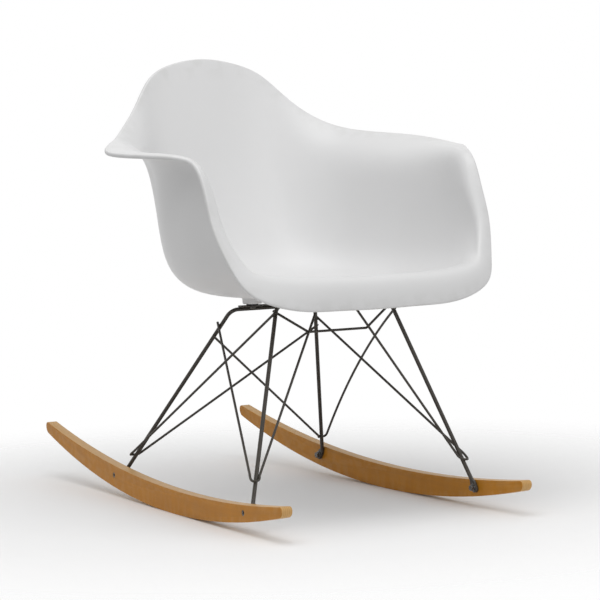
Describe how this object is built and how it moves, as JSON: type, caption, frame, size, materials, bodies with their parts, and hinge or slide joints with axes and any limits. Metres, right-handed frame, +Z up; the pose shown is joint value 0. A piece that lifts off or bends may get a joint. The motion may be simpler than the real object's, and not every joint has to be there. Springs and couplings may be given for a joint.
{
  "type": "rocking armchair",
  "caption": "Rocking armchair: one-piece moulded shell seat on a bent-rod wire base with curved wooden rockers.",
  "frame": {"origin": "on the floor under the middle of the chair's bounding box, chair standing in its balanced rest pose", "axes": "+Z up, chair faces -Y, +X to the sitter's left"},
  "size_m": [0.6382, 0.9161, 0.7363],
  "materials": {
    "shell": "satin moulded shell, pale grey-white",
    "rod": "satin near-black paint on bent steel rod",
    "wood": "clear-varnished honey maple plywood",
    "rubber": "matte black rubber",
    "fastener": "black oxide bolts, washers, nuts and screws",
    "brass": "turned brass threaded insert"
  },
  "bodies": {
    "root": {"boss_insert_front_left": "brass", "boss_insert_front_right": "brass", "boss_insert_rear_left": "brass", "boss_insert_rear_right": "brass", "brace_front_left": "rod", "brace_front_right": "rod", "brace_rear_left": "rod", "brace_rear_right": "rod", "foot_bolt_front_left": "fastener", "foot_bolt_front_right": "fastener", "foot_bolt_rear_left": "fastener", "foot_bolt_rear_right": "fastener", "foot_nut_front_left": "fastener", "foot_nut_front_right": "fastener", "foot_nut_rear_left": "fastener", "foot_nut_rear_right": "fastener", "foot_washer_front_left": "fastener", "foot_washer_front_right": "fastener", "foot_washer_rear_left": "fastener", "foot_washer_rear_right": "fastener", "front_frame": "rod", "front_spreader": "rod", "mount_pad_front_left": "rubber", "mount_pad_front_right": "rubber", "mount_pad_rear_left": "rubber", "mount_pad_rear_right": "rubber", "mount_screw_front_left": "fastener", "mount_screw_front_right": "fastener", "mount_screw_rear_left": "fastener", "mount_screw_rear_right": "fastener", "mount_strap_front": "rod", "mount_strap_rear": "rod", "rear_frame": "rod", "rocker_left": "wood", "rocker_right": "wood", "seat_shell": "shell"}
  },
  "joints": []
}
